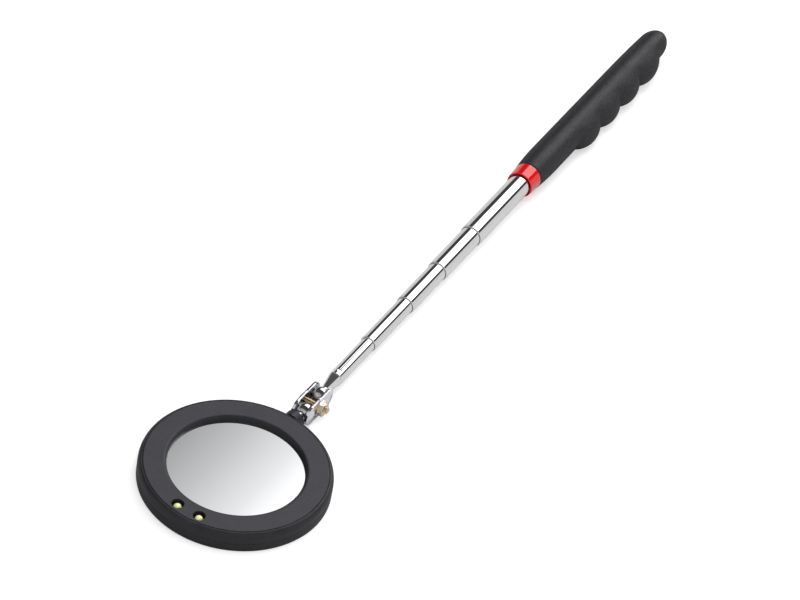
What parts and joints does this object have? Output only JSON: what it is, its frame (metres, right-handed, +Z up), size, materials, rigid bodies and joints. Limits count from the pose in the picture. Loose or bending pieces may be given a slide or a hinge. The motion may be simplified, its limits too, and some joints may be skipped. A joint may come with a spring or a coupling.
{
  "type": "telescoping inspection mirror",
  "caption": "Telescoping inspection mirror: a round lamp-lit mirror head on a ball-jointed clamp at the end of a chrome telescopic rod with a black finger grip.",
  "frame": {"origin": "centre of the mirror head's flat rear face, which lies on the surface", "axes": "+Z up, out of the mirror; +X from the head along the rod towards the grip; +Y to the left seen along +X"},
  "size_m": [0.3732, 0.0674, 0.0151],
  "materials": {
    "grip": "fine grained black rubber",
    "collar": "glossy red",
    "tube_1": "polished",
    "tube_1_end_plug": "moulded",
    "tube_2": "polished",
    "tube_3": "polished",
    "tube_4": "polished",
    "tube_5": "polished",
    "guide_bush_2": "satin",
    "guide_bush_3": "satin",
    "guide_bush_4": "satin",
    "guide_bush_5": "satin",
    "tip_cone": "polished",
    "rod_ball": "polished",
    "clamp_plate_near": "satin plated",
    "clamp_plate_far": "satin plated",
    "clamp_bolt": "plated",
    "clamp_nut": "plated",
    "head_ball": "polished",
    "head_stud": "polished",
    "stud_clip": "plain",
    "stud_bush": "moulded",
    "front_bezel": "fine grained black",
    "mirror_glass": "silvered",
    "mirror_pad": "foam",
    "circuit_board": "green lacquer",
    "led_left": "pale yellow lens",
    "led_right": "pale yellow lens",
    "coin_cell_left": "plain",
    "coin_cell_right": "plain",
    "cell_contacts": "plated",
    "cell_link": "plain",
    "rear_cover": "fine grained black",
    "battery_door": "fine grained black",
    "door_screw": "zinc plated",
    "case_screws": "zinc plated",
    "switch_body": "plain",
    "switch_knob": "moulded"
  },
  "bodies": {
    "handle": {"grip": "grip", "collar": "collar", "tube_1": "tube_1", "tube_1_end_plug": "tube_1_end_plug"},
    "bush_2": {"guide_bush_2": "guide_bush_2"},
    "section_2": {"tube_2": "tube_2"},
    "bush_3": {"guide_bush_3": "guide_bush_3"},
    "section_3": {"tube_3": "tube_3"},
    "bush_4": {"guide_bush_4": "guide_bush_4"},
    "section_4": {"tube_4": "tube_4"},
    "bush_5": {"guide_bush_5": "guide_bush_5"},
    "section_5": {"tube_5": "tube_5", "tip_cone": "tip_cone"},
    "rod_knuckle": {"rod_ball": "rod_ball"},
    "clamp": {"clamp_plate_near": "clamp_plate_near", "clamp_plate_far": "clamp_plate_far", "clamp_bolt": "clamp_bolt", "clamp_nut": "clamp_nut"},
    "head_knuckle": {"head_ball": "head_ball"},
    "stud": {"head_stud": "head_stud", "stud_clip": "stud_clip"},
    "head": {"stud_bush": "stud_bush", "front_bezel": "front_bezel", "mirror_glass": "mirror_glass", "mirror_pad": "mirror_pad", "circuit_board": "circuit_board", "led_left": "led_left", "led_right": "led_right", "coin_cell_left": "coin_cell_left", "coin_cell_right": "coin_cell_right", "cell_contacts": "cell_contacts", "cell_link": "cell_link", "rear_cover": "rear_cover", "battery_door": "battery_door", "door_screw": "door_screw", "case_screws": "case_screws", "switch_body": "switch_body"},
    "switch": {"switch_knob": "switch_knob"}
  },
  "joints": [
    {"name": "section_2_slide", "type": "slide", "parent": "handle", "child": "bush_2", "axis": [-0.9999, 0, -0.017], "range_m": [-0.0247, 0.1228]},
    {"name": "section_2_turn", "type": "hinge", "parent": "bush_2", "child": "section_2", "pos_m": [0.05222, -0.00253, 0.0042], "axis": [-0.9999, 0, -0.017], "continuous": true},
    {"name": "section_3_slide", "type": "slide", "parent": "section_2", "child": "bush_3", "axis": [-0.9999, 0, -0.017], "range_m": [-0.0228, 0.1247]},
    {"name": "section_3_turn", "type": "hinge", "parent": "bush_3", "child": "section_3", "pos_m": [0.05222, -0.00253, 0.0042], "axis": [-0.9999, 0, -0.017], "continuous": true},
    {"name": "section_4_slide", "type": "slide", "parent": "section_3", "child": "bush_4", "axis": [-0.9999, 0, -0.017], "range_m": [-0.0256, 0.1219]},
    {"name": "section_4_turn", "type": "hinge", "parent": "bush_4", "child": "section_4", "pos_m": [0.05222, -0.00253, 0.0042], "axis": [-0.9999, 0, -0.017], "continuous": true},
    {"name": "section_5_slide", "type": "slide", "parent": "section_4", "child": "bush_5", "axis": [-0.9999, 0, -0.017], "range_m": [-0.0216, 0.1259]},
    {"name": "section_5_turn", "type": "hinge", "parent": "bush_5", "child": "section_5", "pos_m": [0.05222, -0.00253, 0.0042], "axis": [-0.9999, 0, -0.017], "continuous": true},
    {"name": "rod_ball_lean", "type": "hinge", "parent": "section_5", "child": "rod_knuckle", "pos_m": [0.05222, -0.00253, 0.0042], "axis": [-0.017, 0, 0.9999], "range_deg": [-6, 6]},
    {"name": "clamp_pitch", "type": "hinge", "parent": "rod_knuckle", "child": "clamp", "pos_m": [0.05222, -0.00253, 0.0042], "axis": [0, 1, 0], "range_deg": [-100, 100]},
    {"name": "head_pitch", "type": "hinge", "parent": "clamp", "child": "head_knuckle", "pos_m": [0.04142, -0.00253, 0.0042], "axis": [0, -1, 0], "range_deg": [-90, 90]},
    {"name": "head_ball_lean", "type": "hinge", "parent": "head_knuckle", "child": "stud", "pos_m": [0.04142, -0.00253, 0.0042], "axis": [0, 0, 1], "range_deg": [-1.5, 8.5]},
    {"name": "head_turn", "type": "hinge", "parent": "stud", "child": "head", "pos_m": [0, 0, 0.0042], "axis": [0.9981, -0.061, 0], "continuous": true},
    {"name": "switch_slide", "type": "slide", "parent": "head", "child": "switch", "axis": [0.061, 0.9981, 0], "range_m": [0, 0.002]}
  ]
}
